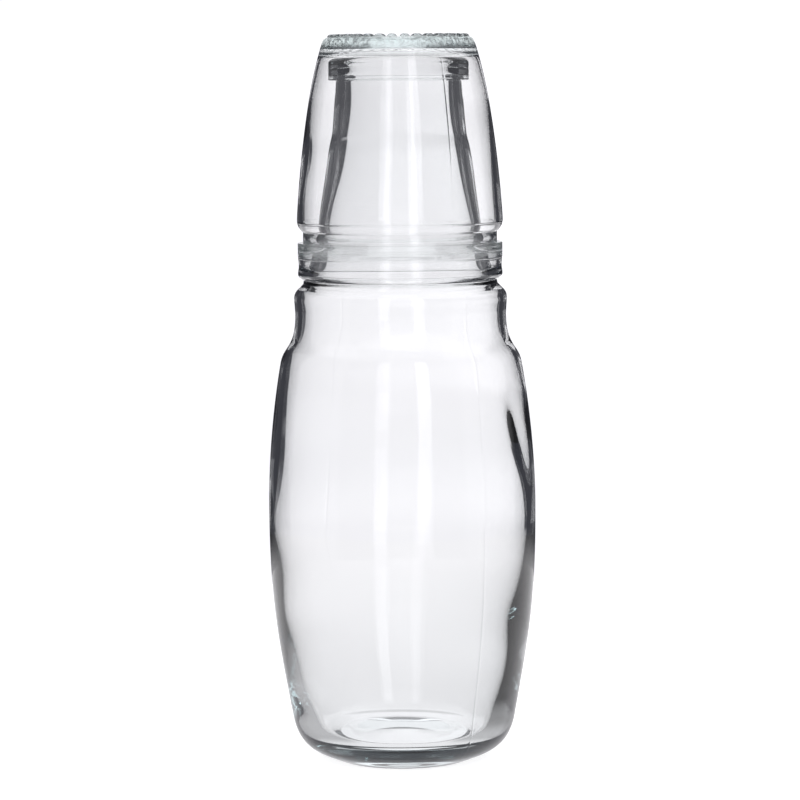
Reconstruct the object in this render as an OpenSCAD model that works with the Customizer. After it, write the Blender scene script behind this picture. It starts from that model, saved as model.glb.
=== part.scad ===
// Bedside water carafe with a tumbler that stands upside down over its neck as a lid.
// Each is one piece of thick clear glass, turned about the upright axis. The origin is the
// centre of the foot, on the table. A place on an outline is written [radius, height].

/* [Carafe foot and heel] */
// Outer radius of the flat ring that the carafe stands on
foot_r = 22.7; // [20:0.1:26]
// Width of that flat ring
foot_ring_w = 2.2; // [1.5:0.1:4]
// Depth of the hollow under the base
punt_depth = 2.2; // [1:0.1:4]
// Radius where the rounded heel runs into the side
heel_r = 38.5; // [35:0.1:41]
// Height of the rounded heel
heel_h = 15.5; // [12:0.1:20]

/* [Carafe body] */
// Radius of the belly at its fullest
belly_r = 46; // [43:0.1:52]
// Height from the heel to the fullest part
belly_rise = 72.5; // [60:0.5:90]
// Radius where the side starts to turn in to the waist
hip_r = 41.5; // [39:0.1:42.5]
// Height from the fullest part to that turn
hip_rise = 49.7; // [40:0.1:60]
// Height of the turn into the waist
waist_rise = 16.8; // [13:0.1:22]
// How far the waist lies inside the bead round the shoulder
waist_in = 0.35; // [0:0.05:1]
// Height from the waist to the middle of the bead
shoulder_rise = 5.3; // [4:0.1:7]
// Rounding of the bead
bead_round = 4.4; // [3:0.1:5]
// How far the bead stands out past the seat of the tumbler
shoulder_out = 3.3; // [2.5:0.1:4.5]
// Height from the middle of the bead to the seat
seat_rise = 6.2; // [5.5:0.1:8]
// Height of the upright edge under the seat
seat_edge_h = 1.1; // [0.6:0.1:1.6]

/* [Carafe neck and lip] */
// Radius of the neck at its root, where it fills the mouth of the tumbler
plug_r = 31.8; // [29:0.1:33]
// Radius of the neck part way up
neck_mid_r = 26.7; // [25:0.1:28]
// Radius of the neck under the lip
neck_top_r = 21.5; // [21.3:0.1:23]
// Height of the neck from the seat to the lip
neck_h = 68.5; // [60:0.5:80]
// How far the lip stands out past the neck
lip_out = 2.6; // [2.4:0.1:4]
// Height of the lip
lip_h = 7.9; // [6.5:0.1:10]
// Rounding of the lip's outer top edge
lip_round = 2.2; // [1:0.1:2.4]
// Rounding of the lip's bottom edge
lip_edge_round = 0.4; // [0.3:0.1:0.8]
// Radius of the throat, the narrowest place inside
throat_r = 18.5; // [16:0.1:18.7]
// How far the mouth opens out above the throat
mouth_flare = 1.8; // [1:0.1:2]
// Rounding of the mouth's inner edge
mouth_round = 1.4; // [0.5:0.1:1.6]

/* [Carafe glass thickness] */
// Height of the inner floor above the table
floor_h = 9.5; // [7:0.1:12]
// Radius of the flat of the inner floor
floor_r = 25.5; // [22:0.1:27]
// Thickness of the side just above the heel
heel_wall = 7.2; // [5:0.1:8]
// Thickness of the side at the belly
belly_wall = 3.1; // [2:0.1:5]
// Thickness of the side at the hip and the waist
hip_wall = 2.4; // [2:0.1:4]
// Thickness of the neck just above its root
root_wall = 2.8; // [2:0.1:4]
// Thickness of the neck higher up
neck_wall = 2.5; // [2:0.1:4]

/* [Tumbler mouth] */
// Gap between the root of the neck and the tumbler's mouth, all round
mouth_gap = 0.4; // [0.3:0.05:0.8]
// Width of the flat rim that stands on the seat
rim_w = 1.1; // [0.8:0.1:1.6]
// Height of the rounded corner above the rim
rim_round_h = 2.2; // [1.5:0.1:3]
// How far the band round the mouth stands out past the rim
band_out = 1.85; // [1.4:0.05:2.4]
// Height of that band, from the rim
band_h = 12.9; // [11.6:0.1:15]
// How far the band dips in above the rim
band_dip = 0.3; // [0:0.05:0.5]
// Depth of the groove above the band
groove_depth = 1.85; // [1.2:0.05:2]
// Height of the groove
groove_h = 3.6; // [3:0.1:5]
// Thickness of the glass at the band
band_wall = 1.9; // [1.4:0.1:2.6]
// Thickness of the glass at the groove
groove_wall = 1.9; // [1.4:0.1:2.6]

/* [Tumbler side and foot] */
// How far the side at its fullest stands out past the band
bulge_out = 0.2; // [0:0.05:1]
// Height of the rounding from the groove to the fullest part
bulge_h = 4.1; // [3:0.1:6]
// Thickness of the side at its fullest
bulge_wall = 2.3; // [1.8:0.05:3.6]
// Thickness of the side at the foot
foot_wall = 1.2; // [1:0.1:2.4]
// Gap between the carafe's lip and the tumbler's side
lip_gap = 2.6; // [1.4:0.1:4]
// Gap between the top of the lip and the tumbler's floor
head_gap = 2.2; // [1:0.1:5]
// Height and width of the round between the side and the floor inside
floor_round = 3.4; // [2:0.1:5]
// Thickness of the tumbler's floor at the foot ring
base_wall = 4.3; // [3:0.1:7]
// Depth of the hollow inside the foot ring
base_hollow = 0.9; // [0.4:0.1:1.5]
// How far the foot ring lies inside the side
foot_in = 3.6; // [3:0.1:5]
// Length of a lug, from the outside of the foot ring inwards
lug_l = 3.5; // [2:0.1:5]
// Width of a lug at the foot ring
lug_w = 3.4; // [2.6:0.1:3.6]
// Height of a lug
lug_h = 1.1; // [0.6:0.1:1.5]
// Number of lugs round the foot ring
lug_count = 34; // [24:1:34]

/* [Hidden] */
$fn = 96;
glass_colour = [0.85, 0.9, 0.9];
// Straight stretches that stand for one curve, and for one round edge
curve_steps = 12;
round_steps = 4;
// Heights up the carafe
belly_z = heel_h + belly_rise;
hip_z = belly_z + hip_rise;
waist_z = hip_z + waist_rise;
shoulder_z = waist_z + shoulder_rise;
seat_z = shoulder_z + seat_rise;
lip_z = seat_z + neck_h;
lip_top_z = lip_z + lip_h;
// Radii that follow the fit of the tumbler on the neck
tumbler_mouth_r = plug_r + mouth_gap;
seat_r = tumbler_mouth_r + rim_w;
shoulder_r = seat_r + shoulder_out;
waist_r = shoulder_r - waist_in;
lip_r = neck_top_r + lip_out;
mouth_r = throat_r + mouth_flare;
// Where the bead's rounding ends, as a turn in degrees from level
bead_turn = 45;
// Leans of an outline, as radius gained for each unit of height
heel_lean_share = 0.178;
inner_heel_lean_share = 0.27;
hip_lean_share = -0.18;
root_lean_share = -0.084;
inner_root_lean_share = -0.15;
neck_lean_share = -0.13;
inner_neck_lean_share = -0.19;
lip_lean_share = -0.071;
foot_lean_share = -0.27;
// How far a curve keeps its lean at each end, as shares of its own height
heel_reach_share = [0.183, 0.76];
heel_start_share = 0.417;
belly_reach_share = [0.342, 0.479];
inner_belly_reach_share = [0.33, 0.45];
hip_reach_share = [0.08, 0.5];
waist_reach_share = [0.36, 0.7];
root_reach_share = [0.5, 0.9];
neck_reach_share = [0.86, 0.89];
inner_shoulder_reach_share = [0.25, 0.95];
inner_root_reach_share = [0.3, 0.4];
inner_neck_reach_share = [0.5, 0.4];
mouth_reach_share = [0.3, 0.3];
round_reach_share = 0.55;
band_reach_share = 0.45;
bulge_reach_share = [0.25, 0.5];
side_reach_share = [0.05, 0.36];
inner_side_reach_share = [0, 0.25];
foot_reach_share = [0.7, 0.45];
// Height of the neck's middle station, as a share of the neck
neck_mid_share = 0.4;
neck_mid_z = seat_z + neck_mid_share * neck_h;
// Height of the root's station inside the neck, as a share of the neck
root_share = 0.13;
root_z = seat_z + root_share * neck_h;
// Height of the throat in the lip, as a share of the lip
throat_share = 0.14;
throat_z = lip_z + throat_share * lip_h;
// Heights up the tumbler, which stands on the seat
band_z = seat_z + band_h;
groove_z = band_z + groove_h;
bulge_z = groove_z + bulge_h;
ceiling_z = lip_top_z + head_gap;
side_top_z = ceiling_z - floor_round;
foot_z = ceiling_z + base_wall;
// Heights on the band of its dip and of its fullest line, as shares of the band
band_dip_share = 0.39;
band_full_share = 0.72;
// Radii of the tumbler
band_r = seat_r + band_out;
groove_r = band_r - groove_depth;
bulge_r = band_r + bulge_out;
side_top_r = lip_r + lip_gap;
foot_ring_r = side_top_r + foot_wall - foot_in;
// Radius of a lug's round back, from its width and height, and the height of its middle line
lug_round = (lug_w ^ 2 / 4 + lug_h ^ 2) / (2 * lug_h);
lug_z = foot_z + lug_h - lug_round;

// Points from a to b along a cubic curve, without a itself. The curve leaves a along a_arm and
// comes into b along b_arm
function curve(a, a_arm, b, b_arm, steps = curve_steps) = [
    for (i = [1 : steps])
        let (t = i / steps, s = 1 - t)
        s ^ 3 * a + 3 * s ^ 2 * t * (a + a_arm) + 3 * s * t ^ 2 * (b - b_arm) + t ^ 3 * b
];

// An arm that leans out by lean for each unit that it rises
function arm(lean, rise) = rise * [lean, 1];

// Points round an arc about the place c, from one turn to another in degrees
function arc(c, r, from, to) = [
    for (i = [0 : round_steps])
        let (turn = from + (to - from) * i / round_steps)
        c + r * [cos(turn), sin(turn)]
];

// Points of a shallow dish from the axis at height mid_z out to radius r at height rim_z,
// level at both ends
function dish(r, mid_z, rim_z) = [
    for (i = [0 : curve_steps])
        let (t = i / curve_steps)
        [t * r, rim_z + (mid_z - rim_z) * (1 + cos(180 * t)) / 2]
];

// The same points in the other order
function reversed(points) = [for (i = [len(points) - 1 : -1 : 0]) points[i]];

// The side from the heel to the waist, drawn in by a thickness at each station. The lower belly
// has its own lean and reaches, because the glass is thicker there
function body_side(low, mid, top, lean, reach) =
    let (
        heel = [heel_r - low, heel_h],
        belly = [belly_r - mid, belly_z],
        hip = [hip_r - top, hip_z],
        waist = [waist_r - top, waist_z]
    )
    concat(
        [heel],
        curve(heel, arm(lean, reach[0] * belly_rise), belly, arm(0, reach[1] * belly_rise)),
        curve(belly, arm(0, hip_reach_share[0] * hip_rise),
              hip, arm(hip_lean_share, hip_reach_share[1] * hip_rise)),
        curve(hip, arm(hip_lean_share, waist_reach_share[0] * waist_rise),
              waist, arm(0, waist_reach_share[1] * waist_rise))
    );

// Outside of the neck, from its root on the seat to the underside of the lip
function neck_outside() =
    let (
        root = [plug_r, seat_z],
        mid = [neck_mid_r, neck_mid_z],
        top = [neck_top_r, lip_z],
        low_h = neck_mid_z - seat_z,
        high_h = lip_z - neck_mid_z
    )
    concat(
        [root],
        curve(root, arm(root_lean_share, root_reach_share[0] * low_h),
              mid, arm(neck_lean_share, root_reach_share[1] * low_h)),
        curve(mid, arm(neck_lean_share, neck_reach_share[0] * high_h),
              top, arm(lip_lean_share, neck_reach_share[1] * high_h))
    );

// Radius of the outside of the neck at a height
function neck_radius(z) = lookup(z, [for (p = neck_outside()) [p[1], p[0]]]);

// Outside of the carafe, from the middle of the base to the top of the lip
function carafe_outside() =
    let (
        foot = [foot_r, 0],
        heel = [heel_r, heel_h],
        start_arm = [heel_start_share * (heel_r - foot_r), heel_reach_share[0] * heel_h],
        bead_c = [shoulder_r - bead_round, shoulder_z],
        edge_c = [lip_r - lip_edge_round, lip_z + lip_edge_round],
        lip_c = [lip_r - lip_round, lip_top_z - lip_round]
    )
    concat(
        dish(foot_r - foot_ring_w, punt_depth, 0),
        [foot],
        curve(foot, start_arm, heel, arm(heel_lean_share, heel_reach_share[1] * heel_h)),
        body_side(0, 0, 0, heel_lean_share, belly_reach_share),
        arc(bead_c, bead_round, 0, bead_turn),
        [[seat_r, seat_z - seat_edge_h], [seat_r, seat_z]],
        neck_outside(),
        arc(edge_c, lip_edge_round, -90, 0),
        arc(lip_c, lip_round, 0, 90)
    );

// Inside of the carafe, from the middle of its floor to the mouth
function carafe_inside() =
    let (
        floor_edge = [floor_r, floor_h],
        side = body_side(heel_wall, belly_wall, hip_wall, inner_heel_lean_share,
                         inner_belly_reach_share),
        heel = side[0],
        waist = side[len(side) - 1],
        bead = [shoulder_r - hip_wall, shoulder_z],
        root = [neck_radius(root_z) - root_wall, root_z],
        bead_h = shoulder_z - waist_z,
        shoulder_h = root_z - shoulder_z,
        mid = [neck_mid_r - neck_wall, neck_mid_z],
        root_h = neck_mid_z - root_z,
        neck_in_h = throat_z - neck_mid_z,
        throat = [throat_r, throat_z],
        mouth = [mouth_r, lip_top_z - mouth_round],
        mouth_h = mouth[1] - throat_z
    )
    concat(
        [[0, floor_h], floor_edge],
        curve(floor_edge, [round_reach_share * (heel[0] - floor_r), 0],
              heel, arm(inner_heel_lean_share, round_reach_share * (heel_h - floor_h)), round_steps),
        side,
        curve(waist, arm(0, band_reach_share * bead_h),
              bead, arm(0, band_reach_share * bead_h), round_steps),
        curve(bead, arm(0, inner_shoulder_reach_share[0] * shoulder_h),
              root, arm(inner_root_lean_share, inner_shoulder_reach_share[1] * shoulder_h)),
        curve(root, arm(inner_root_lean_share, inner_root_reach_share[0] * root_h),
              mid, arm(inner_neck_lean_share, inner_root_reach_share[1] * root_h), round_steps),
        curve(mid, arm(inner_neck_lean_share, inner_neck_reach_share[0] * neck_in_h),
              throat, arm(0, inner_neck_reach_share[1] * neck_in_h)),
        curve(throat, arm(0, mouth_reach_share[0] * mouth_h),
              mouth, arm(0, mouth_reach_share[1] * mouth_h), round_steps),
        arc(mouth + [mouth_round, 0], mouth_round, 180, 90)
    );

module carafe() {
    color(glass_colour)
        rotate_extrude()
            polygon(concat(carafe_outside(), reversed(carafe_inside())));
}

// Outside of the tumbler as it stands upside down, from the rim to the middle of its foot
function tumbler_outside() =
    let (
        rim = [seat_r, seat_z],
        corner = [band_r, seat_z + rim_round_h],
        dip = [band_r - band_dip, seat_z + band_dip_share * band_h],
        full = [band_r, seat_z + band_full_share * band_h],
        groove = [groove_r, groove_z],
        bulge = [bulge_r, bulge_z],
        side_h = side_top_z - bulge_z,
        top = [side_top_r + foot_wall, side_top_z],
        top_h = foot_z - side_top_z,
        ring = [foot_ring_r, foot_z]
    )
    concat(
        [rim],
        curve(rim, round_reach_share * [band_out, rim_round_h] / 2,
              corner, arm(0, round_reach_share * rim_round_h), round_steps),
        curve(corner, arm(0, band_reach_share * (dip[1] - corner[1])),
              dip, arm(0, band_reach_share * (dip[1] - corner[1])), round_steps),
        curve(dip, arm(0, band_reach_share * (full[1] - dip[1])),
              full, arm(0, band_reach_share * (full[1] - dip[1])), round_steps),
        [[band_r, band_z], [groove_r, band_z], groove],
        curve(groove, arm(1, bulge_reach_share[0] * bulge_h),
              bulge, arm(0, bulge_reach_share[1] * bulge_h)),
        curve(bulge, arm(0, side_reach_share[0] * side_h),
              top, arm(foot_lean_share, side_reach_share[1] * side_h)),
        curve(top, arm(foot_lean_share, foot_reach_share[0] * top_h),
              ring, [-foot_reach_share[1] * foot_in, 0]),
        reversed(dish(foot_ring_r - lug_l, foot_z - base_hollow, foot_z))
    );

// Inside of the tumbler, from the rim past the band, the groove and the bulge to the middle of
// its floor. It follows the outside, so the glass is even round the mouth
function tumbler_inside() =
    let (
        rim = [tumbler_mouth_r, seat_z],
        band = [band_r - band_wall, seat_z + band_dip_share * band_h],
        full = [band[0], seat_z + band_full_share * band_h],
        nip = [groove_r - groove_wall, (band_z + groove_z) / 2],
        bulge = [bulge_r - bulge_wall, bulge_z],
        rim_h = band[1] - seat_z,
        ledge_h = nip[1] - full[1],
        nip_h = bulge_z - nip[1],
        side_h = side_top_z - bulge_z,
        top = [side_top_r, side_top_z],
        floor_edge = [side_top_r - floor_round, ceiling_z]
    )
    concat(
        [rim],
        curve(rim, arm(0, band_reach_share * rim_h),
              band, arm(0, band_reach_share * rim_h), round_steps),
        [full],
        curve(full, arm(0, band_reach_share * ledge_h),
              nip, arm(0, band_reach_share * ledge_h), round_steps),
        curve(nip, arm(0, band_reach_share * nip_h),
              bulge, arm(0, band_reach_share * nip_h), round_steps),
        curve(bulge, arm(0, inner_side_reach_share[0] * side_h),
              top, arm(foot_lean_share, inner_side_reach_share[1] * side_h)),
        curve(top, arm(foot_lean_share, round_reach_share * floor_round),
              floor_edge, [-round_reach_share * floor_round, 0]),
        [[0, ceiling_z]]
    );

// Ring of rounded lugs on which the tumbler stands when it is the right way up: round bars that
// lie along the radius, cut to a ring with a rounded top
module lugs() {
    ring_out = foot_ring_r;
    ring_in = foot_ring_r - lug_l;
    top_z = foot_z + lug_h;
    intersection() {
        rotate_extrude()
            polygon(concat(
                [[ring_in, foot_z - lug_h], [ring_out, foot_z - lug_h]],
                arc([ring_out - lug_h, foot_z], lug_h, 0, 90),
                arc([ring_in + lug_h, foot_z], lug_h, 90, 180)
            ));
        for (i = [0 : lug_count - 1])
            rotate([0, 0, i * 360 / lug_count])
                translate([ring_in - lug_h, 0, lug_z])
                    rotate([0, 90, 0])
                        cylinder(r = lug_round, h = lug_l + 2 * lug_h);
    }
}

module tumbler() {
    color(glass_colour) {
        rotate_extrude()
            polygon(concat(tumbler_outside(), reversed(tumbler_inside())));
        lugs();
    }
}

carafe();
tumbler();
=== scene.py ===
"""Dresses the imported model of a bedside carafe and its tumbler: both are turned again as smooth
thick glass on the same sizes as the solids, and stand on a pale table in soft studio light."""
import math

import bpy
import numpy as np
from mathutils import Matrix

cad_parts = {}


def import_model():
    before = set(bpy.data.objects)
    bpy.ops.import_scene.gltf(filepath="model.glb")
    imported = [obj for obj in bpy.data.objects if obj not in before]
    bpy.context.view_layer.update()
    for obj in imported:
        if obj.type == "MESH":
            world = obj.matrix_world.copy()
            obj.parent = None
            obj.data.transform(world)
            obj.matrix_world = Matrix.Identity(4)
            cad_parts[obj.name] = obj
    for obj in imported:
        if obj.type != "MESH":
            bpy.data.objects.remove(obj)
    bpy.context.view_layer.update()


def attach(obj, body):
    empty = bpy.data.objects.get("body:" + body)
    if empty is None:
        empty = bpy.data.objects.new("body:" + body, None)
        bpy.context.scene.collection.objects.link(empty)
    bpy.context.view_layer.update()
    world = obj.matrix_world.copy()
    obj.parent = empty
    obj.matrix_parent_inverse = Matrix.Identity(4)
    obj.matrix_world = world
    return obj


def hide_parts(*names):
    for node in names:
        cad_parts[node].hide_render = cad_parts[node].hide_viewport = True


MM = 0.001

# Sizes in millimetres, as in the part's source. A name ends in _R for a radius, _Z for a height over
# the table, _H for a height of its own, and _LEAN for millimetres outwards on each one up.
# The carafe's outside, from its foot ring and the hollow inside the ring to its lip
FOOT_R, FOOT_RING, PUNT = 22.7, 2.2, 2.2
HEEL_R, HEEL_H, HEEL_LEAN = 38.5, 15.5, 0.178
BELLY_R, BELLY_Z = 46.0, 88.0
HIP_R, HIP_Z, HIP_LEAN = 41.5, 137.7, -0.18
WAIST_R, WAIST_Z = 36.25, 154.5
BEAD_R, BEAD_Z, BEAD_ROUND = 36.6, 159.8, 4.4
SEAT_R, SEAT_Z, SEAT_EDGE = 33.3, 166.0, 1.1
PLUG_R = 31.8
NECK_R, NECK_Z, NECK_LEAN = 26.7, 193.4, -0.13
TOP_R, LIP_Z, LIP_LEAN = 21.5, 234.5, -0.071
LIP_R, LIP_TOP, LIP_UNDER, LIP_ROUND = 24.1, 242.4, 0.4, 2.2
# The carafe's inside: its floor, its walls by station, and the root, throat and mouth of its bore
FLOOR_H, FLOOR_R = 9.5, 25.5
WALLS = {"heel": 7.2, "belly": 3.1, "hip": 2.4, "root": 2.8, "neck": 2.5}
HEEL_LEAN_IN, ROOT_LEAN, THROAT_LEAN = 0.27, -0.15, -0.19
ROOT_Z, THROAT_Z = 174.9, 235.6
BORE_R, MOUTH_R, MOUTH_ROUND = 18.5, 20.3, 1.4
# The tumbler's outside, upside down: rim, band with its shallow dip, groove, bulge, side and foot
RIM_LIFT, RIM_H = 0.03, 2.2
BAND_R, BAND_Z, BAND_DIP = 35.15, 178.9, 0.3
GROOVE_R, GROOVE_Z = 33.3, 182.5
BULGE_R, BULGE_Z = 35.35, 186.6
SIDE_R, SIDE_Z, FOOT_LEAN = 27.9, 241.2, -0.27
FOOT_Z, RING_R, HOLLOW = 248.9, 24.3, 0.9
LUGS, LUG_H, LUG_L, LUG_W = 34, 1.1, 3.5, 3.4
# The tumbler's inside: how far its mouth stands off the plug, its walls, and its ceiling
MOUTH_GAP = 0.4
BAND_WALL, GROOVE_WALL, BULGE_WALL = 1.9, 1.9, 2.3
SIDE_IN_R, CEILING_Z, CEILING_R = 26.7, 244.6, 23.3

# Marks of the making, on top of those sizes. Waves of the inside: height, spread, and millimetres
# outwards on the left and on the right
CARAFE_WAVES = (
    (24, 8, 0.9, 0.2), (47, 9, 0.9, -1.4), (80, 9, 1.4, 0.4), (108, 10, -0.4, -0.5), (126, 8, 0.0, 1.1),
)
TUMBLER_WAVES = ((226, 8, 0.8, 1.0), (194, 8, 0.6, 0.2), (209, 6, -0.2, 0.3))
# A slanting thick streak in the carafe's side: height, spread, bearing from the right in degrees, its
# slant in degrees for each millimetre up, its width in degrees and its millimetres outwards
CARAFE_STREAK = (116, 9, -26, -0.48, 4.5, -0.8)
# The mould seams, two opposite each other: bearing of one, where they start and end, and height
CARAFE_SEAM = (-53, 3, 164, 0.1)
TUMBLER_SEAM = (-59, 169, 246, 0.04)
# How wide a seam is in degrees, over how many millimetres it runs out, and the radius inside which
# the waves die away towards the axis
SEAM_WIDTH, SEAM_END, CALM_R = 0.35, 3, 15

# Points of an outline in millimetres: how close they are worked out, how far apart those that are
# kept may stand, and how close they stand where there is fine detail. BEND is the turn between two,
# and SHARP the most that a corner counts for, in radians
FINE, FAR, CLOSE = 0.05, 1.6, 0.24
BEND, SHARP = math.radians(5), 0.2


def joined(parts):
    """One line of places (radius, height) through all the parts: each is a place or an array of them."""
    return np.concatenate([np.atleast_2d(np.array(p, float)) for p in parts])


def curve(a, a_arm, b, b_arm, steps=40):
    """Points from a to b, without a, on a cubic Bezier curve: it leaves a along a_arm and comes
    into b along b_arm. With s = 1 - t, a point is s^3 a + 3 s^2 t (a + a_arm) + 3 s t^2 (b - b_arm)
    + t^3 b. The arms are shares of the curve's height, or millimetres, fitted to the real line."""
    a, a_arm, b, b_arm = (np.array(v, float) for v in (a, a_arm, b, b_arm))
    t = np.linspace(0, 1, steps + 1)[1:, None]
    s = 1 - t
    return s**3 * a + 3 * s * s * t * (a + a_arm) + 3 * s * t * t * (b - b_arm) + t**3 * b


def arm(lean, rise):
    """An arm that leans out by lean for each millimetre that it rises."""
    return np.array([lean * rise, rise])


def arc(centre, r, start, end, steps=24):
    """Points round an arc: the centre plus r times the cosine and sine of the turn in degrees."""
    turn = np.radians(np.linspace(start, end, steps))
    return np.array(centre) + r * np.stack([np.cos(turn), np.sin(turn)], 1)


def dish(r, mid_z, rim_z, steps=40):
    """Points of a shallow dish from the axis to radius r: half a cosine wave, level at both ends."""
    t = np.linspace(0, 1, steps)
    return np.stack([t * r, rim_z + (mid_z - rim_z) * (1 + np.cos(np.pi * t)) / 2], 1)


def bell(x, middle, width):
    """A smooth hump 1 high: e to the power of minus half the square of (x - middle) / width."""
    return np.exp(-0.5 * ((x - middle) / width) ** 2)


def polished(parts, count, soften, close=None):
    """One outline through all the parts with its corners melted round: the points are set every
    FINE millimetres, averaged with a bell curve of width soften, and thinned to count points that
    stand closest where the line turns most, and in the box close: two radii and two heights."""
    line = joined(parts)
    step = np.hypot(*np.diff(line, axis=0).T)
    line = line[np.concatenate([[True], step > 1e-6])]
    along = np.concatenate([[0], np.cumsum(np.hypot(*np.diff(line, axis=0).T))])
    even = np.arange(0, along[-1], FINE)
    fine = np.stack([np.interp(even, along, line[:, k]) for k in (0, 1)], 1)
    reach = int(soften / FINE * 3)
    weights = bell(np.arange(-reach, reach + 1) * FINE, 0, soften)
    weights /= weights.sum()
    before = fine[reach:0:-1] * [-1, 1]
    after = fine[-2:-reach - 2:-1] * [-1, 1]
    wide = np.concatenate([before, fine, after])
    fine = np.stack([np.convolve(wide[:, k], weights, "valid") for k in (0, 1)], 1)
    fine[[0, -1], 0] = 0
    way = np.gradient(fine, axis=0)
    turn = np.abs(np.gradient(np.unwrap(np.arctan2(way[:, 1], way[:, 0]))))
    ask = FINE / FAR + np.minimum(turn, SHARP) / BEND
    if close:
        r, z = fine.T
        ask = ask + FINE / CLOSE * ((r > close[0]) & (r < close[1]) & (z > close[2]) & (z < close[3]))
    ask = np.cumsum(ask)
    pick = np.interp(np.linspace(ask[0], ask[-1], count), ask, np.arange(len(fine)))
    return np.stack([np.interp(pick, np.arange(len(fine)), fine[:, k]) for k in (0, 1)], 1)


def body_side(low, mid, top, lean, reach):
    """The side from heel to waist, drawn in by a wall at each station: three curves end to end."""
    heel, belly = (HEEL_R - low, HEEL_H), (BELLY_R - mid, BELLY_Z)
    hip, waist = (HIP_R - top, HIP_Z), (WAIST_R - top, WAIST_Z)
    a, b, c = BELLY_Z - HEEL_H, HIP_Z - BELLY_Z, WAIST_Z - HIP_Z
    return joined([
        heel,
        curve(heel, arm(lean, reach[0] * a), belly, arm(0, reach[1] * a)),
        curve(belly, arm(0, 0.08 * b), hip, arm(HIP_LEAN, 0.5 * b)),
        curve(hip, arm(HIP_LEAN, 0.36 * c), waist, arm(0, 0.7 * c)),
    ])


def neck_outside():
    """Outside of the neck from its root to the lip: two curves end to end."""
    root, mid, top = (PLUG_R, SEAT_Z), (NECK_R, NECK_Z), (TOP_R, LIP_Z)
    a, b = NECK_Z - SEAT_Z, LIP_Z - NECK_Z
    return joined([
        root,
        curve(root, arm(-0.084, 0.5 * a), mid, arm(NECK_LEAN, 0.9 * a)),
        curve(mid, arm(NECK_LEAN, 0.86 * b), top, arm(LIP_LEAN, 0.89 * b)),
    ])


def neck_radius(z):
    """Radius of the outside of the neck at a height."""
    line = neck_outside()
    return float(np.interp(z, line[:, 1], line[:, 0]))


def carafe_outline():
    """Outside from the middle of the base to the lip, then inside down to the middle of the floor."""
    foot, heel = (FOOT_R, 0), (HEEL_R, HEEL_H)
    outside = [
        dish(FOOT_R - FOOT_RING, PUNT, 0), foot,
        curve(foot, (0.417 * (HEEL_R - FOOT_R), 0.183 * HEEL_H), heel, arm(HEEL_LEAN, 0.76 * HEEL_H)),
        body_side(0, 0, 0, HEEL_LEAN, (0.342, 0.479)),
        arc((BEAD_R - BEAD_ROUND, BEAD_Z), BEAD_ROUND, 0, 45),
        [(SEAT_R, SEAT_Z - SEAT_EDGE), (SEAT_R, SEAT_Z)],
        neck_outside(),
        arc((LIP_R - LIP_UNDER, LIP_Z + LIP_UNDER), LIP_UNDER, -90, 0),
        arc((LIP_R - LIP_ROUND, LIP_TOP - LIP_ROUND), LIP_ROUND, 0, 90),
    ]
    side = body_side(WALLS["heel"], WALLS["belly"], WALLS["hip"], HEEL_LEAN_IN, (0.33, 0.45))
    floor, to_heel = (FLOOR_R, FLOOR_H), (0.55 * (side[0, 0] - FLOOR_R), 0)
    root, mid = (neck_radius(ROOT_Z) - WALLS["root"], ROOT_Z), (NECK_R - WALLS["neck"], NECK_Z)
    throat, mouth = (BORE_R, THROAT_Z), (MOUTH_R, LIP_TOP - MOUTH_ROUND)
    bead, e = (BEAD_R - WALLS["hip"], BEAD_Z), BEAD_Z - WAIST_Z
    a, b, c, d = ROOT_Z - BEAD_Z, NECK_Z - ROOT_Z, THROAT_Z - NECK_Z, mouth[1] - THROAT_Z
    inside = joined([
        (0, FLOOR_H), floor,
        curve(floor, to_heel, side[0], arm(HEEL_LEAN_IN, 0.55 * (HEEL_H - FLOOR_H))),
        side,
        curve(side[-1], arm(0, 0.45 * e), bead, arm(0, 0.45 * e)),
        curve(bead, arm(0, 0.25 * a), root, arm(ROOT_LEAN, 0.95 * a)),
        curve(root, arm(ROOT_LEAN, 0.3 * b), mid, arm(THROAT_LEAN, 0.4 * b)),
        curve(mid, arm(THROAT_LEAN, 0.5 * c), throat, arm(0, 0.4 * c)),
        curve(throat, arm(0, 0.3 * d), mouth, arm(0, 0.3 * d)),
        arc((MOUTH_R + MOUTH_ROUND, LIP_TOP - MOUTH_ROUND), MOUTH_ROUND, 180, 90),
    ])
    return polished(outside + [inside[::-1]], count=360, soften=0.22)


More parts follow.
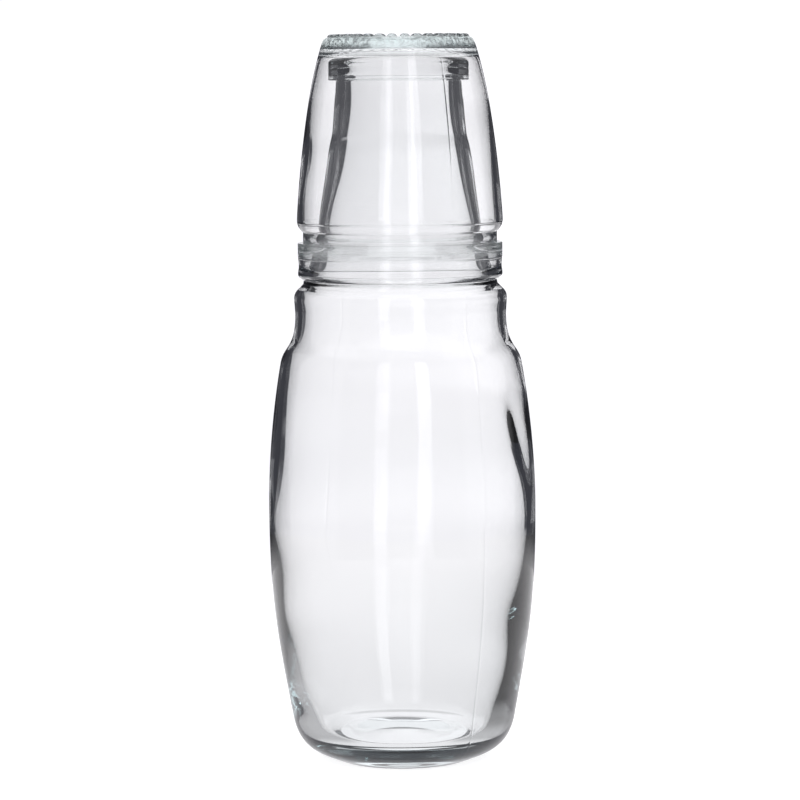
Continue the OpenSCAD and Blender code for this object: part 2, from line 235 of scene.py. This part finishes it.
def tumbler_outline():
    """Inside from the middle of the ceiling down to the rim on the seat, then outside up to the
    middle of the foot, with its points close under the lugs."""
    z0, band_h = SEAT_Z + RIM_LIFT, BAND_Z - SEAT_Z
    rim, corner = (SEAT_R, z0), (BAND_R, SEAT_Z + RIM_H)
    dip, full = (BAND_R - BAND_DIP, SEAT_Z + 0.39 * band_h), (BAND_R, SEAT_Z + 0.72 * band_h)
    groove, bulge = (GROOVE_R, GROOVE_Z), (BULGE_R, BULGE_Z)
    h, top_h = SIDE_Z - BULGE_Z, FOOT_Z - SIDE_Z
    top, ring = (SIDE_R, SIDE_Z), (RING_R, FOOT_Z)
    outside = [
        rim,
        curve(rim, (0.5, 0.6), corner, arm(0, 1.2)),
        curve(corner, arm(0, 1.3), dip, arm(0, 1.3)),
        curve(dip, arm(0, 1.9), full, arm(0, 1.9)),
        [(BAND_R, BAND_Z), (GROOVE_R, BAND_Z), groove],
        curve(groove, arm(1, 1.0), bulge, arm(0, 2.0)),
        curve(bulge, arm(0, 0.05 * h), top, arm(FOOT_LEAN, 0.36 * h)),
        curve(top, arm(FOOT_LEAN, 0.7 * top_h), ring, (-1.6, 0)),
        dish(RING_R - LUG_L, FOOT_Z - HOLLOW, FOOT_Z)[::-1],
    ]
    mouth, band = (PLUG_R + MOUTH_GAP, z0), (BAND_R - BAND_WALL, dip[1])
    band_top, nip = (BAND_R - BAND_WALL, full[1]), (GROOVE_R - GROOVE_WALL, (BAND_Z + GROOVE_Z) / 2)
    a, b, c = dip[1] - z0, nip[1] - full[1], BULGE_Z - nip[1]
    inner_bulge, inner_top = (BULGE_R - BULGE_WALL, BULGE_Z), (SIDE_IN_R, SIDE_Z)
    inside = joined([
        mouth,
        curve(mouth, arm(0, 0.45 * a), band, arm(0, 0.45 * a)),
        band_top,
        curve(band_top, arm(0, 0.45 * b), nip, arm(0, 0.45 * b)),
        curve(nip, arm(0, 0.45 * c), inner_bulge, arm(0, 0.45 * c)),
        curve(inner_bulge, arm(0, 0), inner_top, arm(FOOT_LEAN, 0.25 * h)),
        curve(inner_top, arm(FOOT_LEAN, 1.9), (CEILING_R, CEILING_Z), (-1.9, 0)),
        (0, CEILING_Z),
    ])
    under_lugs = (RING_R - LUG_L - 0.6, RING_R + 0.4, FOOT_Z - 1.2, FOOT_Z + 1)
    return polished([inside[::-1]] + outside, count=230, soften=0.2, close=under_lugs)


def lugs(x, y, z):
    """Heights of the foot with its lugs: round bars that lie along the radius, their tops at
    LUG_H above the ring, cut by a ring with round edges of radius LUG_H. A bar's height is that of
    a circle: its middle plus the root of its radius squared less the way off its line squared."""
    r, angle = np.hypot(x, y), np.arctan2(y, x)
    pitch = 2 * np.pi / LUGS
    off = r * np.sin(angle - np.round(angle / pitch) * pitch)
    back = (LUG_W**2 / 4 + LUG_H**2) / (2 * LUG_H)
    bar = FOOT_Z + LUG_H - back + np.sqrt(np.maximum(back**2 - off**2, 0))
    past = np.maximum(np.abs(r - (RING_R - LUG_L / 2)) - (LUG_L / 2 - LUG_H), 0)
    ring = FOOT_Z + np.sqrt(np.maximum(LUG_H**2 - past**2, 0))
    on_top = (z > FOOT_Z - 1) & (past < LUG_H)
    return np.where(on_top, np.maximum(z, np.minimum(bar, ring)), z)


def bearings_round(count, seam):
    """Angles all round in radians, closer together at the two mould seams."""
    steps = (-1, -0.6, -0.3, 0, 0.3, 0.6, 1)
    near = np.array([seam[0] + half + step for half in (0, 180) for step in steps]) % 360
    degrees = np.concatenate([np.arange(count) * 360 / count, near])
    return np.radians(np.unique(np.round(degrees, 3)))


def turned(name, outline, angles, inside, waves, seam, streak=None, top=None):
    """A solid of revolution: each outline point swept round the axis through all the angles, and
    one point for each pole. The radius of an inside point gains the waves of the blown glass: a sum
    of bell curves up the height, each passing from its left to its right amount as the cosine of
    the angle, and the slanting streak. Outside points gain two fine mould seams. The heights may be
    shaped by top."""
    r, z = outline[1:-1, :1], outline[1:-1, 1:]
    turn = np.degrees(angles)
    inner = inside[1:-1, None] * np.minimum(r / CALM_R, 1)
    for middle, spread, left, right in waves:
        amount = ((left + right) + (right - left) * np.cos(angles)) / 2
        r = r + inner * bell(z, middle, spread) * amount
    if streak:
        middle, spread, bearing, slant, width, amount = streak
        away = (turn - bearing - slant * (z - middle) + 180) % 360 - 180
        r = r + inner * amount * bell(z, middle, spread) * bell(away, 0, width)
    bearing, low, high, amount = seam
    ends = np.clip((z - low) / SEAM_END, 0, 1) * np.clip((high - z) / SEAM_END, 0, 1)
    r = r + ~inside[1:-1, None] * ends * amount * bell((turn - bearing + 90) % 180 - 90, 0, SEAM_WIDTH)
    x, y, z = r * np.cos(angles), r * np.sin(angles), z + 0 * angles
    if top:
        z = top(x, y, z)
    rows, cols = x.shape
    grid = np.stack([x, y, z], 2).reshape(-1, 3)
    poles = np.array([[0, 0, outline[0, 1]], [0, 0, outline[-1, 1]]])
    i, j = np.meshgrid(np.arange(rows - 1), np.arange(cols), indexing="ij")
    k = (j + 1) % cols
    quads = np.stack([i * cols + j, i * cols + k, (i + 1) * cols + k, (i + 1) * cols + j], 2)
    quads = quads.reshape(-1, 4)
    j, k, end, n = j[0], k[0], (rows - 1) * cols, len(grid)
    first = np.stack([np.full(cols, n), k, j], 1)
    last = np.stack([np.full(cols, n + 1), end + j, end + k], 1)
    faces = [*quads.tolist(), *first.tolist(), *last.tolist()]
    mesh = bpy.data.meshes.new(name)
    mesh.from_pydata(np.concatenate([grid, poles]) * MM, [], faces)
    mesh.polygons.foreach_set("use_smooth", np.ones(len(mesh.polygons), bool))
    mesh.update()
    piece = bpy.data.objects.new(name, mesh)
    bpy.context.scene.collection.objects.link(piece)
    return piece


def linear(code):
    """An sRGB hex colour as linear light: c / 12.92 up to 0.04045, over it ((c + 0.055) / 1.055)^2.4."""
    c = np.array([int(code[i:i + 2], 16) for i in (0, 2, 4)]) / 255
    return (*np.where(c <= 0.04045, c / 12.92, ((c + 0.055) / 1.055) ** 2.4), 1.0)


def put(tree, kind, *inputs, **settings):
    """Adds a shader node of a kind. Inputs fill its sockets in order: another node or one of its
    outputs is linked, and a number or colour is set. A setting is a property of the node or, by its
    name with _ for a space, a socket."""
    node = tree.nodes.new("ShaderNode" + kind)
    sockets = dict(enumerate(inputs))
    for key, value in settings.items():
        if hasattr(node, key):
            setattr(node, key, value)
        else:
            sockets[key.replace("_", " ")] = value
    for key, value in sockets.items():
        if isinstance(value, bpy.types.Node):
            value = value.outputs[0]
        if isinstance(value, bpy.types.NodeSocket):
            tree.links.new(value, node.inputs[key])
        else:
            node.inputs[key].default_value = value
    return node


# A Map Range node that runs smoothly between its two ends
SMOOTH = {"interpolation_type": "SMOOTHSTEP"}


def between(tree, value, low, high, soft):
    """1 from low to high and 0 outside: a smooth rise round low times a smooth fall round high,
    each reaching soft to both sides."""
    up = put(tree, "MapRange", value, low - soft, low + soft, **SMOOTH)
    down = put(tree, "MapRange", value, high - soft, high + soft, 1.0, 0.0, **SMOOTH)
    return put(tree, "Math", up, down, operation="MULTIPLY")


def distance(tree, x, y):
    """How far a place is from the upright axis: the root of x squared plus y squared."""
    squares = [put(tree, "Math", value, value, operation="MULTIPLY") for value in (x, y)]
    return put(tree, "Math", put(tree, "Math", *squares, operation="ADD"), operation="SQRT")


def bearing_of(tree, x, y):
    """The compass bearing of a place or way, in degrees from straight behind the carafe."""
    return put(tree, "Math", put(tree, "Math", x, y, operation="ARCTAN2"), operation="DEGREES")


# Patterns in the glass, by how many come to a millimetre: gentle waves 18 mm long over all of it, and
# flecks 1.4 mm apart on the tumbler's pressed foot. RELIEF is how high a pattern of 1 stands, in mm
WAVES_PER_MM, FLECKS_PER_MM, RELIEF = 0.055, 0.7, 0.04
# How strong the flecks and the fine rings are in that relief
FLECKS, RING_LINE = 4.0, 2.0
# The tumbler's marks by height: the start of the foot's matt top, four fine rings at the groove and
# band, and the band's milky upper edge
MATT_Z, RINGS_Z, LEDGE_Z = 248.5, (185.7, 183.0, 176.2, 173.7), (174.2, 179.7)
# Half the width of a fine ring, how softly the milky edge ends, and how far up the matt top gets full
RING_HALF, LEDGE_SOFT, MATT_RISE = 0.15, 1.4, 0.6
# Where the flecks come in, by radius and by how far under the matt top; where the milky veil comes
# in, by how far under it, and where it thins out again over it
FLECKS_R, FLECKS_UNDER, VEIL_UNDER, VEIL_OVER = (20.5, 22.5), (5.5, 2.5), (4.0, 1.0), (0.4, 0.9)
# A height that nothing reaches, for a mark that a piece doesn't have
NOWHERE = 1000.0
# The finish: density of the faint green, roughness of the matt top, and how much of the veil is milk
GREEN, MATT, MILK = 3.0, 0.03, 0.12
# How much of the veil shows on the side of the foot, what its top keeps of that, how low and high
# flecks thin and thicken it, and how much shows at the band's milky edge
VEIL_SIDE, VEIL_TOP, VEIL_FLECKS, VEIL_LEDGE = 0.55, 0.35, (0.40, 0.54, -0.4, 0.5), 0.28


def clear_soda_lime(name, matt_z=NOWHERE, rings_z=(), ledge_z=(NOWHERE, NOWHERE)):
    """Fire-polished soda-lime glass, blown or pressed in a mould: clear as water with sharp shine,
    and faintly green only where the light goes a long way through it, which the absorption does.
    Its surface is a little wavy, which breaks up the edges of what it mirrors. The foot of a pressed
    piece has a fine matt grain with flecks, which the eye takes as a pale milky ring."""
    material = bpy.data.materials.new(name)
    material.use_nodes = True
    tree = material.node_tree
    tree.nodes.clear()
    place = put(tree, "TexCoord").outputs["Object"]
    x, y, height = put(tree, "SeparateXYZ", place).outputs
    waves = put(tree, "TexNoise", Vector=place, Scale=WAVES_PER_MM / MM, Detail=1.0)
    flecks = put(tree, "TexNoise", Vector=place, Scale=FLECKS_PER_MM / MM, Detail=2.0)

    ends = [r * MM for r in FLECKS_R]
    outer = put(tree, "MapRange", distance(tree, x, y), *ends, **SMOOTH)
    ends = [(matt_z - under) * MM for under in FLECKS_UNDER]
    outer = put(tree, "Math", outer, put(tree, "MapRange", height, *ends, **SMOOTH), operation="MULTIPLY")
    pressed = put(tree, "Math", outer, FLECKS, operation="MULTIPLY")
    relief = put(tree, "Math", flecks, pressed, waves, operation="MULTIPLY_ADD")
    for ring in rings_z:
        line = between(tree, height, (ring - RING_HALF) * MM, (ring + RING_HALF) * MM, RING_HALF * MM)
        relief = put(tree, "Math", line, RING_LINE, relief, operation="MULTIPLY_ADD")
    bump = put(tree, "Bump", Height=relief, Strength=1.0, Distance=RELIEF * MM)
    ends = (matt_z * MM, (matt_z + MATT_RISE) * MM)
    grain = put(tree, "MapRange", height, *ends, 0.0, MATT, **SMOOTH)
    glass = put(tree, "BsdfPrincipled", Base_Color=(1, 1, 1, 1), IOR=1.52, Transmission_Weight=1.0,
                Roughness=grain, Normal=bump)
    green = put(tree, "VolumeAbsorption", Color=linear("89dde1"), Density=GREEN)

    milky = put(tree, "BsdfTranslucent", Color=linear("f3fffd"))
    clear = put(tree, "BsdfTransparent", Color=linear("fcfffe"))
    veil = put(tree, "MixShader", MILK, clear, milky)
    ends = [(matt_z - under) * MM for under in VEIL_UNDER]
    share = put(tree, "MapRange", height, *ends, 0.0, VEIL_SIDE, **SMOOTH)
    ends = [(matt_z + over) * MM for over in VEIL_OVER]
    thin = put(tree, "MapRange", height, *ends, 1.0, VEIL_TOP, **SMOOTH)
    share = put(tree, "Math", share, thin, operation="MULTIPLY")
    grainy = put(tree, "MapRange", flecks, *VEIL_FLECKS, **SMOOTH)
    grainy = put(tree, "Math", outer, grainy, 1.0, operation="MULTIPLY_ADD")
    share = put(tree, "Math", share, grainy, operation="MULTIPLY")
    ledge = between(tree, height, ledge_z[0] * MM, ledge_z[1] * MM, LEDGE_SOFT * MM)
    ledge = put(tree, "Math", ledge, VEIL_LEDGE, operation="MULTIPLY")
    share = put(tree, "Math", share, ledge, operation="MAXIMUM")
    surface = put(tree, "MixShader", share, glass, veil)
    put(tree, "OutputMaterial", Surface=surface, Volume=green)
    return material


# The surround in degrees: bearings from straight behind the carafe, and rise over level. The white
# screen stands behind the carafe and, for light that was turned back inside the glass, also in front
SCREEN = (-16.0, 19.0)
# The dark room beside the screen, as light straight through the glass finds it and as the outside
# mirrors it on both sides
DARK_ROOM, GRAZED = (-62, 65), (7, 62)
# Rises between which the screen is dark to light that was turned back once, and more often, and how
# dark; the same for what lies under it
RIM_ONCE, RIM_MORE, RIM_DARK = (-16, 0), (-16, -4.8), 0.85
UNDER, UNDER_DARK = (-20, -14), 0.95
# White below the level to light straight through, and a white floor and ceiling to all light
WHITE_LOW, WHITE_FLOOR, WHITE_CEILING = (-9.5, -7), (-45, -35), (30, 45)
# The white slopes from left to right: bearings, what it adds at them, the rises over which that comes
# in, and the bearings on both sides over which it ends. It also gets brighter upwards: rises, amounts
SLOPE, SLOPE_ADDS, SLOPE_RISE, SLOPE_ENDS = (-16.0, 15.0), (-0.14, 0.15), (-9, -2), (60, 88)
HIGHER = (-6.5, 0, 0.06, 0.12)
# The front: how far it reaches to both sides of straight ahead, by how much its screen is dimmer, and
# what the outside mirrors there and beside: bearings of the sides, share in front, strength, least
FRONT, FRONT_DIM = (60, 110), 0.6
BESIDE, IN_FRONT, MIRRORED, LEAST = (66, 125), 0.5, 0.8, 0.045
# Two tall soft lamps in front: bearing from straight ahead, left first, half width and strength; then
# how high they reach, and over which rises they get from half to full strength
LAMPS = ((18.0, 6.0, 0.8), (-20.5, 6.0, 1.5))
LAMP_RISE, LAMP_FULL = (-20, 42), (-4, 9, 0.5, 1.0)
# White as the camera sees it, and the faint blue light that is left everywhere
WHITE, DUSK = 1.05, 0.012
# Light that is turned back inside the glass tires: between which turns, from how much to how little
TIRED = (2.2, 4.3, 1.0, 0.04)
# The table in metres: its radius and how far it lies under the foot; then its own white to the camera
# beside the light that falls on it
TABLE_R, TABLE_DROP, TABLE_GLOW = 0.45, 0.00002, 0.72
# Seen through the glass it glows brighter outwards, a painted light: distances in metres, strengths
TABLE_PALE = (0.04, 0.34, 0.90, 1.07)
# To light that was turned back it is painted dark outwards, a painted shade: distances, how dark, how
# much of that the screen takes off, and how much nearer it starts on the right
TABLE_DARK, DARK, SCREEN_SPARES, SKEW = (0.05, 0.09), 0.97, 0.1, 0.35
# The shade close beside the foot: distances, bearings to both sides, and how dark
CONTACT, CONTACT_ASIDE, CONTACT_DARK = (0.026, 0.036), (30, 50), 0.45


def table_top():
    """A round pale table under the carafe. It shows white, and keeps the soft shadow. Light that was
    turned back inside the glass finds it painted dark away from the middle, a painted shade that stands
    in for the dark room beside a light tent."""
    angles = np.radians(np.arange(0, 360, 5))
    mesh = bpy.data.meshes.new("table")
    ring = np.stack([TABLE_R * np.cos(angles), TABLE_R * np.sin(angles), 0 * angles - TABLE_DROP], 1)
    mesh.from_pydata(ring.tolist(), [], [list(range(len(angles)))])
    table = bpy.data.objects.new("table", mesh)
    bpy.context.scene.collection.objects.link(table)
    mesh.materials.append(white_laminate())


def white_laminate():
    """Smooth white laminate with a matt finish: an even pale ground with a soft shadow. Seen through the
    glass it glows with painted light: a little brighter far out, with a painted shadow close beside the
    foot, and painted dark to light that was turned back."""
    material = bpy.data.materials.new("white_laminate")
    material.use_nodes = True
    tree = material.node_tree
    tree.nodes.clear()
    path = put(tree, "LightPath").outputs
    x, y, _ = put(tree, "SeparateXYZ", put(tree, "TexCoord").outputs["Object"]).outputs
    shown = put(tree, "Math", path["Is Camera Ray"], TABLE_GLOW, operation="MULTIPLY")
    glow = put(tree, "Emission", Strength=shown)
    lit = put(tree, "AddShader", glow, put(tree, "BsdfDiffuse", Color=linear("e7e7e7")))

    # Painted shade seen through the glass: the glow is darkened further out to light that was turned back
    # inside the glass
    turned_back = put(tree, "Math", path["Glossy Depth"], 1.0, operation="MINIMUM")
    turned_back = put(tree, "Math", path["Is Transmission Ray"], turned_back, operation="MULTIPLY")
    far = distance(tree, x, y)
    side = put(tree, "Math", bearing_of(tree, x, y), 90, -90, operation="WRAP")
    screen = between(tree, side, *SCREEN, 3)
    on_screen = put(tree, "Math", screen, -SCREEN_SPARES, 1.0, operation="MULTIPLY_ADD")
    skew = put(tree, "Math", x, SKEW, far, operation="MULTIPLY_ADD")
    dark = put(tree, "MapRange", skew, *TABLE_DARK, **SMOOTH)
    dark = put(tree, "Math", dark, on_screen, operation="MULTIPLY")
    dark = put(tree, "Math", turned_back, dark, operation="MULTIPLY")
    not_dark = put(tree, "Math", dark, -DARK, 1.0, operation="MULTIPLY_ADD")

    # Painted shadow close beside the foot, to light that was turned back inside the glass
    contact = put(tree, "MapRange", far, *CONTACT, **SMOOTH)
    contact = put(tree, "Math", turned_back, contact, operation="MULTIPLY")
    off = put(tree, "Math", side, operation="ABSOLUTE")
    aside = put(tree, "MapRange", off, *CONTACT_ASIDE, **SMOOTH)
    contact = put(tree, "Math", contact, aside, operation="MULTIPLY")
    no_contact = put(tree, "Math", contact, -CONTACT_DARK, 1.0, operation="MULTIPLY_ADD")
    # Painted light on the glow seen through the glass: brighter further out, dimmer after many turns
    # inside the glass, times the painted shadow and painted dark
    glow_strength = put(tree, "MapRange", far, *TABLE_PALE, **SMOOTH)
    tired = put(tree, "MapRange", path["Glossy Depth"], *TIRED, **SMOOTH)
    for factor in (tired, no_contact, not_dark):
        glow_strength = put(tree, "Math", glow_strength, factor, operation="MULTIPLY")
    painted_glow = put(tree, "Emission", Color=linear("fdfcff"), Strength=glow_strength)
    through = put(tree, "Math", path["Is Glossy Ray"], path["Is Transmission Ray"], operation="MAXIMUM")
    put(tree, "OutputMaterial", Surface=put(tree, "MixShader", through, lit, painted_glow))
    return material


def studio():
    """The surround: white to the camera. Light that comes straight through the glass finds white
    but for the dark room on both sides of the screen behind it. Light that was turned back inside
    the glass finds that dark room all round, with a screen behind and one in front. Two tall soft
    lamps stand in front, and a soft white ceiling hangs over it all."""
    world = bpy.data.worlds.new("studio")
    bpy.context.scene.world = world
    world.use_nodes = True
    tree = world.node_tree
    tree.nodes.clear()
    x, y, z = put(tree, "SeparateXYZ", put(tree, "TexCoord").outputs["Generated"]).outputs
    path = put(tree, "LightPath").outputs
    depth, mirrored = path["Glossy Depth"], path["Is Reflection Ray"]
    turn = bearing_of(tree, x, y)
    aside = put(tree, "Math", turn, operation="ABSOLUTE")
    side = put(tree, "Math", turn, 90, -90, operation="WRAP")
    ahead = put(tree, "Math", put(tree, "Math", turn, 180, operation="ADD"), 180, -180, operation="WRAP")
    rise = put(tree, "Math", put(tree, "Math", z, operation="ARCSINE"), operation="DEGREES")
    straight = put(tree, "Math", depth, 0.5, operation="LESS_THAN")
    bent_back = put(tree, "Math", 1.0, straight, operation="SUBTRACT")
    turned_back = put(tree, "Math", path["Is Transmission Ray"], bent_back, operation="MULTIPLY")

    # The screen, and white all round away from the dark room
    room = put(tree, "Math", 1.0, between(tree, turn, *DARK_ROOM, 2), operation="SUBTRACT")
    elsewhere = put(tree, "Math", straight, room, operation="MULTIPLY")
    screen = put(tree, "Math", between(tree, side, *SCREEN, 1.0), elsewhere, operation="MAXIMUM")
    graze = put(tree, "Math", mirrored, between(tree, aside, *GRAZED, 1.5), operation="MULTIPLY")
    not_grazed = put(tree, "Math", 1.0, graze, operation="SUBTRACT")
    # Dark low down to light that was turned back once or more: the thick rims and heel show it
    once = put(tree, "Math", depth, 1.5, operation="LESS_THAN")
    once = put(tree, "Math", turned_back, once, operation="MULTIPLY")
    once = put(tree, "Math", once, between(tree, rise, *RIM_ONCE, 1), operation="MULTIPLY")
    more = put(tree, "Math", turned_back, between(tree, depth, 1.5, 3.5, 0.1), operation="MULTIPLY")
    more = put(tree, "Math", more, between(tree, rise, *RIM_MORE, 0.5), operation="MULTIPLY")
    rim = put(tree, "Math", once, more, operation="MAXIMUM")
    not_rim = put(tree, "Math", rim, -RIM_DARK, 1.0, operation="MULTIPLY_ADD")
    under = put(tree, "MapRange", rise, *UNDER, 1.0, 0.0, **SMOOTH)
    under = put(tree, "Math", turned_back, under, operation="MULTIPLY")
    not_under = put(tree, "Math", under, -UNDER_DARK, 1.0, operation="MULTIPLY_ADD")
    for factor in (not_grazed, not_rim, not_under):
        screen = put(tree, "Math", screen, factor, operation="MULTIPLY")
    # White under the horizon to light straight through, and white floor and ceiling to all light
    low = put(tree, "MapRange", rise, *WHITE_LOW, 1.0, 0.0, **SMOOTH)
    not_back = put(tree, "Math", 1.0, turned_back, operation="SUBTRACT")
    low = put(tree, "Math", low, not_back, operation="MULTIPLY")
    floor = put(tree, "MapRange", rise, *WHITE_FLOOR, 1.0, 0.0, **SMOOTH)
    ceiling = put(tree, "MapRange", rise, *WHITE_CEILING, **SMOOTH)
    for white in (low, floor, ceiling):
        screen = put(tree, "Math", screen, white, operation="MAXIMUM")

    # The white is a little brighter to the right and higher up
    shade = put(tree, "MapRange", side, *SLOPE, *SLOPE_ADDS, **SMOOTH)
    up = put(tree, "MapRange", rise, *SLOPE_RISE, **SMOOTH)
    off = put(tree, "Math", side, operation="ABSOLUTE")
    ends = put(tree, "MapRange", off, *SLOPE_ENDS, 1.0, 0.0, **SMOOTH)
    for factor in (up, ends):
        shade = put(tree, "Math", shade, factor, operation="MULTIPLY")
    higher = put(tree, "MapRange", rise, *HIGHER, **SMOOTH)
    shade = put(tree, "Math", shade, higher, operation="ADD")
    shade = put(tree, "Math", shade, 1.0, operation="ADD")
    # The screen in front is dimmer, as it only stands there for light that was turned back
    off_ahead = put(tree, "Math", ahead, operation="ABSOLUTE")
    facing = put(tree, "MapRange", off_ahead, *FRONT, 1.0, 0.0, **SMOOTH)
    dimmer = put(tree, "Math", facing, bent_back, operation="MULTIPLY")
    dimmer = put(tree, "Math", dimmer, -FRONT_DIM, 1.0, operation="MULTIPLY_ADD")
    level = put(tree, "Math", screen, dimmer, operation="MULTIPLY")
    level = put(tree, "Math", level, shade, operation="MULTIPLY")
    # The outside mirrors a pale room from in front and beside
    facing = put(tree, "Math", facing, IN_FRONT, operation="MULTIPLY")
    facing = put(tree, "Math", facing, between(tree, aside, *BESIDE, 5), operation="MAXIMUM")
    pale_room = put(tree, "Math", mirrored, facing, operation="MULTIPLY")
    pale_room = put(tree, "Math", pale_room, MIRRORED, LEAST, operation="MULTIPLY_ADD")
    level = put(tree, "Math", level, pale_room, operation="MAXIMUM")
    tired = put(tree, "MapRange", depth, *TIRED, **SMOOTH)
    level = put(tree, "Math", level, tired, operation="MULTIPLY")

    upright = put(tree, "MapRange", rise, *LAMP_FULL, **SMOOTH)
    upright = put(tree, "Math", between(tree, rise, *LAMP_RISE, 2), upright, operation="MULTIPLY")
    for middle, half, power in LAMPS:
        lamp = between(tree, ahead, middle - half, middle + half, 1.0)
        lamp = put(tree, "Math", lamp, upright, operation="MULTIPLY")
        level = put(tree, "Math", lamp, power, level, operation="MULTIPLY_ADD")
    seen = put(tree, "Math", path["Is Camera Ray"], WHITE, operation="MULTIPLY")
    level = put(tree, "Math", level, seen, operation="MAXIMUM")
    sky = put(tree, "Background", Color=linear("fdfcff"), Strength=level)
    dusk = put(tree, "Background", Color=linear("95aaff"), Strength=DUSK)
    put(tree, "OutputWorld", Surface=put(tree, "AddShader", sky, dusk))


# The camera: its lens and film in millimetres, its place in metres, how far it is tilted down and
# turned about its own line of sight in degrees
LENS, FILM = 166.5, 36
EYE, TILT, ROLL = (-0.00048, -1.270, 0.2346), 4.958, -0.50


def camera():
    """The photograph's long lens, a little below the tumbler's foot and tilted down to the carafe."""
    cam = bpy.data.cameras.new("camera")
    cam.sensor_width = FILM
    cam.lens = LENS
    cam.clip_start, cam.clip_end = 0.05, 50
    obj = bpy.data.objects.new("camera", cam)
    bpy.context.scene.collection.objects.link(obj)
    obj.matrix_world = (Matrix.Translation(EYE) @ Matrix.Rotation(math.radians(90 - TILT), 4, "X")
                        @ Matrix.Rotation(math.radians(ROLL), 4, "Z"))
    bpy.context.scene.camera = obj


def main():
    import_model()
    scene = bpy.context.scene
    scene.view_settings.view_transform = "Standard"
    scene.cycles.max_bounces = 32
    scene.cycles.transmission_bounces = scene.cycles.glossy_bounces = 24
    camera()
    studio()
    table_top()

    line = carafe_outline()
    inside = np.arange(len(line)) > line[:, 1].argmax()
    carafe = turned("carafe_glass", line, bearings_round(256, CARAFE_SEAM), inside,
                    CARAFE_WAVES, CARAFE_SEAM, CARAFE_STREAK)
    line = tumbler_outline()
    inside = np.arange(len(line)) < line[:, 1].argmin()
    tumbler = turned("tumbler_glass", line, bearings_round(12 * LUGS, TUMBLER_SEAM), inside,
                     TUMBLER_WAVES, TUMBLER_SEAM, top=lugs)
    for piece, node, marks in ((carafe, "carafe", ()), (tumbler, "tumbler", (MATT_Z, RINGS_Z, LEDGE_Z))):
        piece.data.materials.append(clear_soda_lime("clear_soda_lime_" + node, *marks))
        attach(piece, node)
        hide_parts(node)


main()
